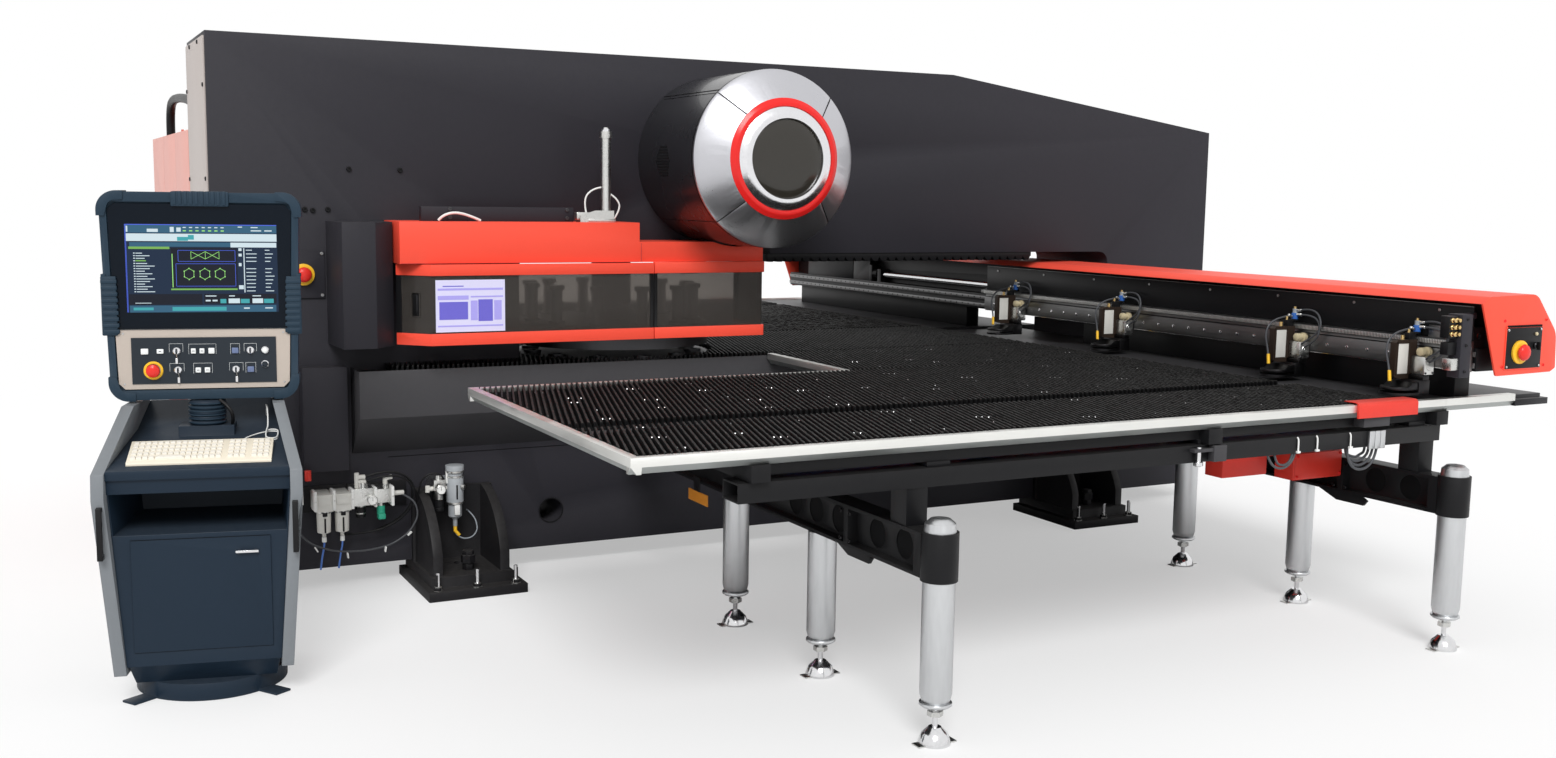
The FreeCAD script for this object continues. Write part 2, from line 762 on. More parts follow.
def turret_side_guard():
    """Fixed guard frame at the right of the door, returned towards the frame."""
    face = guard_front_y - band_depth
    strip = guard_plan(face, 0, band_depth, guard_right_x, guard_right_x)
    lower = prism(strip, "xy", guard_bottom, window_bottom)
    upper = prism(strip, "xy", window_top, band_top)
    left = guard_split_x + door_gap
    stile = block(left, left + 14, face + 4, face + band_depth, window_bottom, window_top)
    post = block(guard_right_x - band_depth, guard_right_x, -half_thickness - 40,
                 -half_thickness - 12, window_bottom, window_top)
    return join([lower, upper, stile, post])


def side_guard_window():
    """Smoked pane of the fixed guard, bent round its right corner."""
    face = guard_front_y - band_depth + 8
    left = guard_split_x + door_gap + 14
    right = guard_right_x - 8
    back = -half_thickness - 40
    pane = [
        (left, face), (right, face, 12), (right, back), (right - pane_thickness, back),
        (right - pane_thickness, face + pane_thickness), (left, face + pane_thickness),
    ]
    return prism(pane, "xy", window_bottom, window_top)


def turret_column_cover():
    """Dark faceted cover at the left of the turret guard."""
    right = guard_left_x - 6
    outer = [
        (right - 240, -half_thickness), (right - 228, guard_front_y), (right - 92, guard_front_y),
        (right, guard_front_y + 100), (right, -half_thickness),
    ]
    t = sheet_metal
    inner = [
        (right - 240 + t, -half_thickness + 1), (right - 228 + t, guard_front_y + t),
        (right - 92 - t / 2, guard_front_y + t), (right - t, guard_front_y + 100 + t / 2),
        (right - t, -half_thickness + 1),
    ]
    shell = prism(outer, "xy", guard_bottom - 6, guard_top - 4)
    return shell.cut(prism(inner, "xy", guard_bottom - 7, guard_top - 4 - t))


def hood_lift_unit():
    """Upright cylinder on its bracket, beside the flat bar along the top of the hood."""
    x = guard_step_x - 139
    y = guard_front_y + 60
    foot = [(x - 130, y - 30), (x + 28, y - 30), (x + 28, y + 30), (x - 130, y + 30)]
    plate = prism(foot, "xy", guard_top, guard_top + 8)
    lug = prism([(x - 130, guard_top + 8), (x + 28, guard_top + 8), (x + 28, guard_top + 52),
                 (x - 60, guard_top + 52), (x - 130, guard_top + 30)], "xz", y - 30, y - 24)
    cylinder = join([rod("z", (x, y), 22, guard_top + 8, guard_top + 372),
                     rod("z", (x, y), 28, guard_top + 372, guard_top + 400),
                     rod("z", (x, y), 12, guard_top + 400, guard_top + 418)])
    bar = block(guard_chamfer_x, x - 130, y + 60, y + 100, guard_top, guard_top + 62)
    return group([join([plate, lug, cylinder]), bar])


# ---------------------------------------------------------------- fixed table
def frame_and_turret_space(low, high):
    """What the fixed table leaves free: the frame left of the throat, and the turret."""
    frame = block(-half_length - 1, throat_left_x, -half_thickness, half_thickness, low, high)
    turret = rod("z", (turret_x, 0), turret_radius + turret_gap, low, high)
    return [frame, turret]


def centre_table():
    """Fixed table: plate round the turret, folded aprons front and rear, sloped lower plates."""
    right = throat_right_x - 6
    low = plate_top - 190
    floor = low - 175
    plate = block(centre_table_left, right, -centre_table_half, centre_table_half,
                  plate_top - table_plate, plate_top)
    for space in frame_and_turret_space(floor - 5, table_height + 5):
        plate = plate.cut(space)
    lip = table_height - 2
    t = table_plate
    front = prism([
        (-centre_table_half, lip), (-centre_table_half, low), (-half_thickness, floor),
        (-half_thickness, floor + 1.6 * t), (-centre_table_half + t, low + t),
        (-centre_table_half + t, lip),
    ], "yz", centre_table_left, right)
    for x in arm_positions:
        front = front.cut(block(x - arm_width / 2, x + arm_width / 2, -centre_table_half - 1,
                                -half_thickness + 1, arm_bottom, arm_top))
    end = prism([
        (-centre_table_half + t, lip), (-centre_table_half + t, low + t),
        (-half_thickness, floor + 1.6 * t), (-half_thickness, lip),
    ], "yz", centre_table_left, centre_table_left + t)
    return join([plate, front, to_rear(front), end, to_rear(end)])


def centre_brushes():
    """Brush rows of the fixed table."""
    edge = centre_table_half - table_plate
    field = comb(centre_brush_left, brush_end_x, -edge, edge)
    for space in frame_and_turret_space(plate_top - 5, table_height + 5):
        field = field.cut(space)
    return field


# ---------------------------------------------------------------- moving side tables
def side_table_plan(inset=0.0):
    """L-shaped plan of the front table, from its outer corner round to the turret notch."""
    return [
        (table_left_x + inset, table_front_y + inset), (table_right_x, table_front_y + inset),
        (table_right_x, -side_table_inner - inset), (table_notch_x + inset, -side_table_inner - inset),
        (table_notch_x + inset, table_notch_y - inset), (table_left_x + inset, table_notch_y - inset),
    ]


def side_tables():
    """Folded plates of the moving tables, with the dark tail piece at the right."""
    plate = prism(side_table_plan(edge_profile_width), "xy", member_top, plate_top)
    tail = block(table_right_x, table_tail_x, table_front_y, -side_table_inner, member_top, plate_top)
    raised = block(brush_end_x, table_tail_x - 2, table_front_y + edge_profile_width,
                   -side_table_inner - 2, plate_top, plate_top + 14)
    strip = block(table_right_x - edge_profile_width, table_right_x, table_front_y + edge_profile_width,
                  -side_table_inner, member_top, plate_top)
    return both_sides(join([plate, tail, strip, raised]))


def side_brushes():
    """Brush rows of the moving tables, in the sections that the seams show."""
    left = table_left_x + edge_profile_width
    notch = table_notch_x + edge_profile_width
    front = table_front_y + edge_profile_width
    inner = table_notch_y - edge_profile_width
    near = comb(left, brush_end_x, front, section_break_near)
    far = comb(left, brush_end_x, section_break_far, inner)
    reach = comb(notch, brush_end_x, inner + 3, -side_table_inner - 2)
    return both_sides(group([near, far, reach]))


def edge_section(plane, across, outward, low, high):
    """Extruded table edge: flat upper face, lower face drawn in."""
    inner = across - outward * edge_profile_width
    points = [
        (across, profile_top), (across, profile_top - edge_flat),
        (across - outward * 18, member_top), (inner, member_top), (inner, profile_top),
    ]
    return prism(points, plane, low, high)


def table_edge_profiles():
    """Pale edge extrusions round the moving tables, and the red covers over their joint."""
    front = edge_section("yz", table_front_y, -1, table_left_x, joint_cover_left)
    front_right = edge_section("yz", table_front_y, -1, joint_cover_right, table_right_x)
    left = edge_section("xz", table_left_x, -1, table_front_y, table_notch_y)
    notch_long = edge_section("yz", table_notch_y, 1, table_left_x, table_notch_x)
    notch_short = edge_section("xz", table_notch_x, -1, table_notch_y - edge_profile_width,
                               -side_table_inner)
    rail = join([front, left, notch_long, notch_short])
    cover = prism([
        (table_front_y - 8, table_height + 4, 6), (table_front_y - 8, member_top, 4),
        (table_front_y + edge_profile_width, member_top),
        (table_front_y + edge_profile_width, table_height + 4),
    ], "yz", joint_cover_left, joint_cover_right)
    return both_sides(group([rail, front_right, cover]))


def table_underframe():
    """Steel frame under a moving table, its runners on both guides, and the beam's dark web."""
    low = member_top - member_depth
    half = cross_member / 2
    inner = -side_table_inner - 40
    notch = table_notch_y - edge_profile_width
    front = table_front_y + member_setback
    front_cross = table_front_y + front_member_setback
    rear_cross = table_notch_y - rear_member_setback
    right = member_rows[-1] + half
    short = front_cross + member_half_width
    pieces = []
    for x, start, end in zip(member_rows, (front, short, front, short, front),
                             (notch, notch, inner, inner, inner)):
        pieces.append(block(x - half, x + half, start, end, low, member_top))
    for y, left in ((front_cross, member_rows[0]), (rear_cross, member_rows[0]),
                    (inner_rail_y, member_rows[2])):
        pieces.append(block(left, right, y - member_half_width, y + member_half_width, low + 12,
                            member_top))
    guide_middle = guide_beam_front + guide_beam_width / 2
    for x in (-800, member_rows[2], 1440):
        pieces.append(block(x - 45, x + 45, guide_middle - 40, guide_middle + 40,
                            guide_beam_top + runner_gap, low + 12))
    for x in member_rows[2:4]:
        pieces.append(block(x - 30, x + 30, inner_rail_y - 30, inner_rail_y + 30,
                            inner_rail_top + runner_gap, low + 12))
    frame = join(pieces)
    web_left, web_right, web_low = beam_wall_x + 18, beam_back_x - 14, plate_top + 14
    webs = [block(web_left, web_right, table_front_y + 60, inner, web_low, beam_bottom),
            block(web_left, web_right, -inner, beam_back_y - 20, web_low, beam_bottom)]
    return group([frame, to_rear(frame)] + webs)


def guide_beams():
    """Outer guide beams and inner guide rails along X, carried by the support arms."""
    beam = block(guide_beam_left, guide_beam_right, guide_beam_front, guide_beam_back,
                 guide_beam_bottom, guide_beam_top)
    hollow = block(guide_beam_left - 1, guide_beam_left + 60, guide_beam_front + 6, guide_beam_back - 6,
                   guide_beam_bottom + 6, guide_beam_top - 6)
    beam = beam.cut(hollow)
    posts = [block(x - 40, x + 40, guide_beam_front + 8, guide_beam_back - 8, arm_top, guide_beam_bottom)
             for x in arm_positions]
    y = inner_rail_y
    rail = prism([
        (y - 40, arm_top), (y + 40, arm_top), (y + 40, arm_top + 14), (y + 14, arm_top + 14),
        (y + 14, inner_rail_top), (y - 14, inner_rail_top), (y - 14, arm_top + 14),
        (y - 40, arm_top + 14),
    ], "yz", arm_positions[0] - 120, arm_positions[1] + 120)
    return both_sides(group([join([beam] + posts), rail]))


def support_arm(x):
    """One welded arm of channel section with round holes, a flanged joint and an outer sleeve."""
    inner_y = -half_thickness
    half = arm_width / 2
    arm = block(x - half, x + half, leg_rows[0], inner_y, arm_bottom, arm_top)
    web = arm_plate / 2
    spans = ((leg_rows[0] + leg_radius + 30, arm_joint_y - 14), (arm_joint_y + 14, inner_y - arm_plate))
    for side in (-1, 1):
        low, high = sorted((x + side * web, x + side * (half + 1)))
        for start, end in spans:
            arm = arm.cut(block(low, high, start, end, arm_bottom + arm_plate, arm_top - arm_plate))
    middle = (arm_bottom + arm_top) / 2
    for y in arm_holes:
        arm = arm.cut(rod("x", (y, middle), arm_hole_radius, x - arm_width, x + arm_width))
    gusset = prism([
        (arm_joint_y - 110, arm_bottom - 24), (arm_joint_y - 92, arm_bottom - 46),
        (arm_joint_y + 48, arm_bottom - 46), (arm_joint_y + 168, arm_bottom),
        (arm_joint_y - 62, arm_bottom),
    ], "yz", x - arm_plate / 2, x + arm_plate / 2)
    sleeve = rod("z", (x, leg_rows[0]), leg_radius + 8, arm_bottom - 2, arm_top + 10)
    arm = join([arm, gusset, sleeve])
    return arm.cut(rod("z", (x, leg_rows[0]), leg_radius, arm_bottom - 3, arm_top + 11))


def support_arms():
    return group([solid for x in arm_positions for solid in both_sides(support_arm(x)).Solids])


def support_leg(x, y, top, capped):
    """Tube leg with a rounded lower end; the outer ones end in a domed cap."""
    profile = [
        (0, leg_bottom), (leg_radius * 0.55, leg_bottom), (leg_radius * 0.86, leg_bottom + 16),
        (leg_radius, leg_bottom + 44), (leg_radius, top),
    ]
    if capped:
        profile += [(leg_radius - 3, top + leg_cap_height * 0.6),
                    (leg_radius * 0.62, top + leg_cap_height * 0.9), (0, top + leg_cap_height)]
    else:
        profile += [(0, top)]
    return turned(profile, vec(x, y, 0), vec(0, 0, 1))


def support_legs():
    legs = []
    for x in arm_positions:
        for i, y in enumerate(leg_rows):
            top = arm_top + 8 if i == 0 else arm_bottom
            legs += both_sides(support_leg(x, y, top, i == 0)).Solids
    return group(legs)


def levelling_foot(x, y):
    """Ball-shaped floor foot with its screw and lock nut."""
    pad = [(0, 0), (leg_radius, 0), (leg_radius, 8), (leg_radius * 0.82, 34), (leg_radius * 0.4, 56),
           (0, 58)]
    base = turned(pad, vec(x, y, 0), vec(0, 0, 1))
    screw = rod("z", (x, y), 9, 50, leg_bottom)
    nut = rod("z", (x, y), 17, leg_bottom - 34, leg_bottom - 16)
    return join([base, screw, nut])


def levelling_feet():
    feet = []
    for x in arm_positions:
        for y in leg_rows:
            feet += both_sides(levelling_foot(x, y)).Solids
    return group(feet)


def junction_boxes():
    """Red terminal boxes beside the right-hand support arm, and the tray between them."""
    arm_face = arm_positions[1] - arm_width / 2
    near_y = arm_joint_y - 2
    near_low = arm_bottom + 67
    near = block(arm_face - box_width - 25, arm_face, near_y, near_y + 100, near_low, near_low + box_height)
    near_lid = block(arm_face - box_width - 20, arm_face - 5, near_y - 6, near_y, near_low + 5,
                     near_low + box_height - 5)
    tray_y = arm_joint_y + 168
    tray_low = arm_top - 8
    back_y = tray_y + tray_width
    tray = prism([
        (tray_y, tray_low), (back_y, tray_low), (back_y, tray_low + 28), (back_y - tray_wall, tray_low + 28),
        (back_y - tray_wall, tray_low + tray_wall), (tray_y + tray_wall, tray_low + tray_wall),
        (tray_y + tray_wall, tray_low + 28), (tray_y, tray_low + 28),
    ], "yz", arm_face - box_width - 215, arm_face)
    far = block(arm_face - box_width - 215, arm_face - 215, tray_y + 30, tray_y + 130, tray_low - 82,
                tray_low)
    return group([join([near, near_lid]), join([tray, far])])


# ---------------------------------------------------------------- carriage
def beam_section(inset):
    """End profile of the carriage beam, stepped for the ball screw, drawn in by the wall."""
    return [
        (beam_front_x + inset, beam_bottom + inset), (beam_back_x - inset, beam_bottom + inset),
        (beam_back_x - inset, beam_top - inset), (beam_wall_x + inset, beam_top - inset),
        (beam_wall_x + inset, beam_ledge - inset), (beam_front_x + inset, beam_ledge - inset),
    ]


def carriage_beam():
    """Hollow beam across the tables with two guide rails, the screw's bearings, motor and box."""
    outer = prism(beam_section(0), "xz", beam_front_y, beam_back_y)
    inner = prism(beam_section(beam_wall), "xz", beam_front_y + beam_wall, beam_back_y - beam_wall)
    body = outer.cut(inner)
    rails = [block(beam_front_x - 10, beam_front_x, beam_front_y + 6, beam_back_y - 6,
                   beam_bottom + rise - rail_half_height, beam_bottom + rise + rail_half_height)
             for rise in rail_rises]
    near = beam_front_y + 20
    bearings = [block(beam_front_x + 2, beam_wall_x, y, y + 40, beam_ledge, screw_height + 34)
                for y in (near, screw_motor_y - 50)]
    body = join([body] + rails + bearings)
    body = body.cut(rod("y", (screw_x, screw_height), screw_journal + running_clearance,
                        near - 1, screw_motor_y + 1))
    mount = block(beam_front_x + 2, beam_wall_x, screw_motor_y + 60, screw_motor_y + 90, beam_ledge,
                  screw_height + 56)
    coupling = rod("y", (screw_x, screw_height), 30, screw_motor_y + 10, screw_motor_y + 60)
    motor = block(beam_front_x + 4, beam_wall_x, screw_motor_y + 90, screw_motor_y + 300, beam_ledge,
                  screw_height + 90)
    box = block(beam_front_x + 4, beam_wall_x, screw_motor_y + 310, beam_back_y - 260, beam_ledge,
                screw_height + 96)
    return group([body, join([mount, coupling, motor]), box])


def cover_outline(inset):
    """End profile of the red carriage cover, drawn in by the wall for its inside."""
    front, back = beam_front_x - cover_overhang, beam_back_x + cover_depth
    top = beam_top + cover_rise
    return [
        (front + inset, top - 33, 0), (front + 41 + inset * 0.4, top - 6 - inset, 26),
        (back - 138 - inset * 0.4, top - inset, 60), (back - 8 - inset, top - 154, 80),
        (back - inset, beam_bottom + 8, 0),
    ]


def carriage_cover():
    """Long red cover, open to the front, with an end plate that carries the emergency stop."""
    back = beam_back_x + cover_depth
    ring = cover_outline(0) + [(back - cover_wall, beam_bottom + 8, 0)]
    ring += [(a, b, max(r - cover_wall, 0)) for a, b, r in reversed(cover_outline(cover_wall)[:-1])]
    shell = prism(ring, "xz", cover_front_y + cover_wall, cover_back_y - cover_wall)
    end = cover_outline(0)[:-1] + [
        (back, beam_bottom + 8, 10), (back - 30, beam_bottom - 7, 6),
        (beam_front_x + 34, beam_bottom - 12, 10),
    ]
    near = prism(end, "xz", cover_front_y, cover_front_y + cover_wall)
    far = prism(end, "xz", cover_back_y - cover_wall, cover_back_y)
    x, z = carriage_stop
    plate = block(x - 81, x + 133, cover_front_y - 4, cover_front_y, z - 68, z + 98)
    ties = []
    for share in (0.06, 0.29, 0.78, 0.96):
        y = cover_front_y + share * (cover_back_y - cover_front_y)
        ties.append(block(beam_back_x, back - 6, y, y + 12, beam_bottom + 30, beam_bottom + 90))
    cover = join([shell, near, far] + ties)
    button = rod("y", carriage_stop, stop_stem_radius + 0.5, cover_front_y - 30,
                 cover_front_y + cover_wall + 1)
    collar = rod("y", carriage_stop, stop_collar_radius, cover_front_y - stop_collar_height,
                 cover_front_y - 4)
    fitting = join([plate, collar]).cut(button)
    return group([cover.cut(button), fitting])


def carriage_plate():
    """Carriage on the beam's rails: bearing plate, bolted bar, clamp strip and the screw's nut."""
    y_low = beam_front_y + 8
    y_high = y_low + carriage_length
    face = carriage_face_x
    back = beam_front_x - 10 - rail_gap
    plate = block(face + 8, back, y_low, y_high, beam_bottom - 2, beam_ledge + 30)
    bar = prism([(face, beam_bottom + 4), (face + 8, beam_bottom + 2), (face + 8, beam_bottom + 80),
                 (face, beam_bottom + 76)], "xz", y_low, y_high)
    strip = prism([(face - 26, beam_bottom + 96), (face + 8, beam_bottom + 96),
                   (face + 8, beam_bottom + 120), (face - 26, beam_bottom + 116)], "xz", y_low, y_high)
    nut_y = y_low + 90
    nut = block(back, screw_x + 30, nut_y, nut_y + 110, beam_ledge + 3, screw_height + 30)
    arm = block(face + 8, back, nut_y, nut_y + 110, beam_ledge + 30, screw_height + 30)
    body = join([plate, bar, strip, nut, arm])
    return body.cut(rod("y", (screw_x, screw_height), screw_radius + 0.4, nut_y - 1, nut_y + 111))


def clamp(y):
    """Sheet clamp: bracket hung on the strip, air cylinder, knob, and the round-ended lower jaw."""
    front = carriage_face_x - 26 - clamp_slide_gap
    tip = carriage_face_x - clamp_reach
    half = clamp_width / 2
    top = beam_bottom + 128
    bracket = prism([
        (front - 92, jaw_low + 58), (front, jaw_low + 58), (front, top), (front - 74, top),
        (front - 92, top - 24),
    ], "xz", y + half - 54, y + half)
    heel = prism([
        (front - 60, jaw_low), (front, jaw_low), (front, jaw_low + 58), (front - 60, jaw_low + 58),
    ], "xz", y - half, y + half)
    blade = block(tip + half, front - 60, y - half, y + half, jaw_low, jaw_low + jaw_thickness)
    nose = rod("z", (tip + half, y), half, jaw_low, jaw_low + jaw_thickness)
    cylinder = prism([
        (front - 84, jaw_low + 76, 8), (front - 6, jaw_low + 76, 8), (front - 6, jaw_low + 150, 8),
        (front - 84, jaw_low + 150, 8),
    ], "xz", y - half, y + half - 54)
    knob = join([rod("y", (front - 46, jaw_low + 176), 9, y + half - 54 - 26, y + half - 54),
                 rod("y", (front - 46, jaw_low + 176), 17, y + half - 54 - 48, y + half - 54 - 26)])
    stand = block(front - 40, front - 6, y - half, y + half - 54, jaw_low + 58, jaw_low + 76)
    return join([bracket, heel, blade, nose, cylinder, knob, stand])


def clamp_jaw(y):
    """Upper jaw of a clamp, pivoted at its rear, at rest open by the mouth's height."""
    half = clamp_width / 2 - 3
    tip = carriage_face_x - clamp_reach + 3
    rear = carriage_face_x - 26 - clamp_slide_gap - 60 - 0.6
    arm = prism([
        (tip + half, jaw_high), (rear, jaw_high), (rear, jaw_high + 30), (rear - 30, jaw_high + 30),
        (tip + half, jaw_high + 12),
    ], "xz", y - half, y + half)
    nose = rod("z", (tip + half, y), half, jaw_high, jaw_high + 12)
    nose = nose.common(block(tip - 1, tip + half, y - half, y + half, jaw_high, jaw_high + 12))
    return join([arm, nose])


def x_ball_screw():
    """Ball screw of the carriage, turned down at both bearings."""
    start = beam_front_y + 60
    end = screw_motor_y - 50
    screw = rod("y", (screw_x, screw_height), screw_radius, start + 4, end - 4)
    journals = rod("y", (screw_x, screw_height), screw_journal, beam_front_y + 26, screw_motor_y + 6)
    return join([screw, journals])


# ---------------------------------------------------------------- emergency stops
def stop_button(face_y, x, z):
    """Mushroom button that faces -Y; its stem slides into the plate behind it."""
    head = turned([(0, 14), (stop_head_radius - 4, 14), (stop_head_radius, 20), (stop_head_radius - 3, 28),
                   (stop_head_radius * 0.6, 35), (0, 37)], vec(x, face_y, z), vec(0, -1, 0))
    stem = rod("y", (x, z), stop_stem_radius, face_y - 14, face_y + 6)
    return join([head, stem])


def e_stop_carriage():
    return stop_button(cover_front_y - stop_collar_height + stop_proud, *carriage_stop)


def e_stop_frame():
    return stop_button(-half_thickness - stop_plate - stop_collar_height + stop_proud, *frame_stop)


def frame_service_covers():
    """Side box under the left end of the fixed table and the plate of the frame's stop button."""
    face = -half_thickness
    box = block(-2362, -2176, face - 90, face, 530, table_height - 4)
    plate = block(frame_stop[0] - 70, frame_stop[0] + 90, face - stop_plate, face,
                  frame_stop[1] - 100, frame_stop[1] + 100)
    collar = rod("y", frame_stop, stop_collar_radius, face - stop_plate - stop_collar_height,
                 face - stop_plate)
    bore = rod("y", frame_stop, stop_stem_radius + 0.5, face - 40, face - 1)
    return group([box, join([plate, collar]).cut(bore)])


# ---------------------------------------------------------------- air, oil and cables
def filter_unit(x):
    """Filter head with its hanging bowl."""
    head = block(x - 35, x + 35, air_y - 32, -half_thickness - 10, air_height, air_height + 74)
    bowl = turned([(0, -113), (8, -113), (8, -100), (28, -92), (30, -6), (24, 0), (0, 0)],
                  vec(x, air_y, air_height), vec(0, 0, 1))
    return join([head, bowl])


def air_service_unit():
    """Filters, regulators and valves in a row on one bracket, and the lubricator beside them."""
    back = -half_thickness
    front = air_y - 28
    low = air_height + 14
    plate = block(-2436, -1915, back - 10, back, air_height - 24, air_height + 90)
    inlet = join([block(-2436, -2376, air_y - 20, back - 10, air_height + 36, air_height + 94),
                  rod("z", (-2406, air_y), 15, air_height + 20, air_height + 36)])
    regulator = join([
        block(-2172, -2080, front, back - 10, low, low + 74), rod("z", (-2136, air_y), 20, low - 42, low),
        rod("y", (-2096, low + 26), 18, front - 22, front), rod("z", (-2126, air_y), 22, low + 74, low + 96),
    ])
    valve = join([
        block(-2078, -2010, front + 4, back - 10, low + 6, low + 66),
        rod("z", (-2050, air_y), 16, low - 58, low + 6), rod("z", (-2030, air_y), 13, low + 66, low + 84),
    ])
    cock = join([
        block(-1824, -1772, air_y - 26, back, low + 40, low + 86),
        rod("z", (-1798, air_y), 20, low - 4, low + 40), rod("z", (-1798, air_y), 16, low + 86, low + 104),
    ])
    oil = turned([(0, 250), (10, 250), (10, 282), (30, 296), (30, 356), (38, 362), (38, 470), (34, 476),
                  (34, 486), (40, 492), (40, 524), (0, 524)], vec(lubricator_x, air_y, 0), vec(0, 0, 1))
    clip = block(lubricator_x - 30, lubricator_x + 30, air_y + 30, back, 425, 461)
    return group([plate, inlet, regulator, valve, cock, join([oil, clip])]
                 + [filter_unit(x) for x in filter_places])


def air_hoses():
    """Main hose loop under the air unit, the drain tubes and the lubricator's oil line."""
    y = air_y - 20
    top = air_height + 20
    loop = tube([
        (-2010, air_y, top + 30), (-1960, air_y, top + 30), (-1906, y, top - 6),
        (-1892, y, top - 70), (-1930, y, top - 140), (-2010, y, top - 190), (-2120, y, top - 206),
        (-2250, y, top - 198), (-2350, y, top - 156), (-2398, y + 8, top - 104),
        (-2406, air_y, top - 50), (-2406, air_y, top),
    ], 6.0)
    drains = [tube([(x, air_y, air_height - 113), (x, air_y, air_height - 150),
                    (x - 8, air_y + 14, air_height - 205), (x - 12, air_y + 30, air_height - 262)], 4.0)
              for x in filter_places]
    x = lubricator_x
    oil = tube([(x, air_y, 250), (x, air_y, 214), (x + 30, air_y - 6, 190), (x + 72, air_y - 10, 192),
                (x + 100, air_y - 4, 222), (x + 98, air_y + 16, 268), (x + 76, air_y + 40, 300),
                (x + 76, -half_thickness - 24, 300)], 3.0)
    return group([loop, oil] + drains)


def energy_chain():
    """Link chain under the throat's top edge: repeated links on one carrier strip."""
    top = throat_top
    left, right, pitch = -130.0, 1470.0, 50.0
    y = -half_thickness + 45
    points = [(left, top), (left, top - 22)]
    for i in range(int((right - left) / pitch)):
        x = left + i * pitch
        points += [(x + pitch * 0.2, top - 42), (x + pitch * 0.7, top - 42), (x + pitch * 0.9, top - 22)]
    points += [(right, top - 22), (right, top)]
    return prism(points, "xz", y - 38, y + 38)


# ---------------------------------------------------------------- control cabinet
def control_cabinet():
    """Electrical cabinet behind the frame, hollow, open to its doors at the left, on two posts."""
    left = cabinet_left_x + cabinet_door_thickness + 2
    right = cabinet_left_x + cabinet_depth
    front, back = cabinet_front_y, cabinet_front_y + cabinet_length
    t = cabinet_wall
    body = block(left, right, front, back, cabinet_bottom, cabinet_height)
    body = body.cut(block(left - 1, right - t, front + t, back - t, cabinet_bottom + t, cabinet_height - t))
    pitch = cabinet_length / cabinet_door_count
    mullions = [block(left, left + 30, front + i * pitch - t, front + i * pitch + t,
                      cabinet_bottom + t, cabinet_height - t) for i in range(1, cabinet_door_count)]
    base_low = cabinet_bottom - cabinet_base
    stand = []
    for y in (front + cabinet_post_inset, back - cabinet_post_inset - cabinet_post):
        stand.append(block(left + 6, left + 6 + cabinet_post, y, y + cabinet_post, 0, base_low))
        stand.append(block(left + 6, right - 20, y, y + cabinet_post, base_low, cabinet_bottom))
        stand.append(block(left - 14, left + cabinet_post + 26, y - 20, y + cabinet_post + 20, 0, 14))
    brackets = [block(x, x + 60, half_thickness, front, z, z + 80)
                for x in (left + 70, right - 130) for z in (cabinet_bottom + 60, cabinet_height - 140)]
    eyes = []
    for y in (front + 110, back - 110):
        ring = rod("x", (y, cabinet_height + 26), 26, left + 114, left + 126)
        ring = ring.cut(rod("x", (y, cabinet_height + 26), 14, left + 110, left + 130))
        foot = rod("z", (left + 120, y), 12, cabinet_height, cabinet_height + 4)
        eyes.append(join([ring, foot]))
    return join([body] + stand + brackets + mullions + eyes)


def cabinet_door(index):
    """One folded cabinet door with its swing handle."""
    pitch = cabinet_length / cabinet_door_count
    y_low = cabinet_front_y + index * pitch + 2.5
    y_high = y_low + pitch - 5
    x = cabinet_left_x
    z_low, z_high = cabinet_bottom + 4, cabinet_height - 4
    door = block(x, x + cabinet_door_thickness, y_low, y_high, z_low, z_high)
    door = door.cut(block(x + 3, x + cabinet_door_thickness + 1, y_low + 3, y_high - 3, z_low + 3,
                          z_high - 3))
    middle = (z_low + z_high) / 2
    handle = prism([(y_low + 24, middle - 70, 8), (y_low + 52, middle - 70, 8), (y_low + 52, middle + 70, 8),
                    (y_low + 24, middle + 70, 8)], "yz", x - 16, x)
    return join([door, handle])


def cabinet_conduit():
    """Black conduit that arches from the frame's rear face to the top of the cabinet."""
    x, y, z = cabinet_left_x + 54, cabinet_front_y, cabinet_height
    return tube([
        (x, half_thickness, z + 87), (x, half_thickness + 130, z + 87), (x + 6, y + 300, z + 131),
        (x + 8, y + 600, z + 165), (x + 8, y + 920, z + 184), (x + 4, y + 1120, z + 186),
        (x, y + 1220, z + 168), (x, y + 1280, z + 125), (x, y + 1300, z + 70), (x, y + 1300, z),
    ], conduit_radius)


# ---------------------------------------------------------------- operator console
def set_console(shape):
    """Turn a console piece about its own middle and carry it to its place."""
    moved = shape.copy()
    moved.rotate(vec(0, 0, 0), vec(0, 0, 1), console_turn)
    moved.translate(vec(console_x, console_y, 0))
    return moved


def desk_height(y):
    return desk_front_height + desk_slope * (y - desk_front)


def console_flare(inset):
    """Solid inside the side planes of the console, drawn in by inset on both sides."""
    y_low, y_high = panel_edge[1][0] - 20, console_back + 10
    pieces = []
    for (low, half_low), (high, half_high) in zip(panel_levels, panel_levels[1:]):
        rings = []
        for z, half in ((low, half_low), (high, half_high)):
            wide = half - inset - console_toe_in * (y_low - panel_edge[1][0])
            narrow = half - inset - console_toe_in * (y_high - panel_edge[1][0])
            rings.append([vec(-wide, y_low, z), vec(wide, y_low, z), vec(narrow, y_high, z),
                          vec(-narrow, y_high, z)])
        pieces.append(polyhedron(*rings))
    return join(pieces)


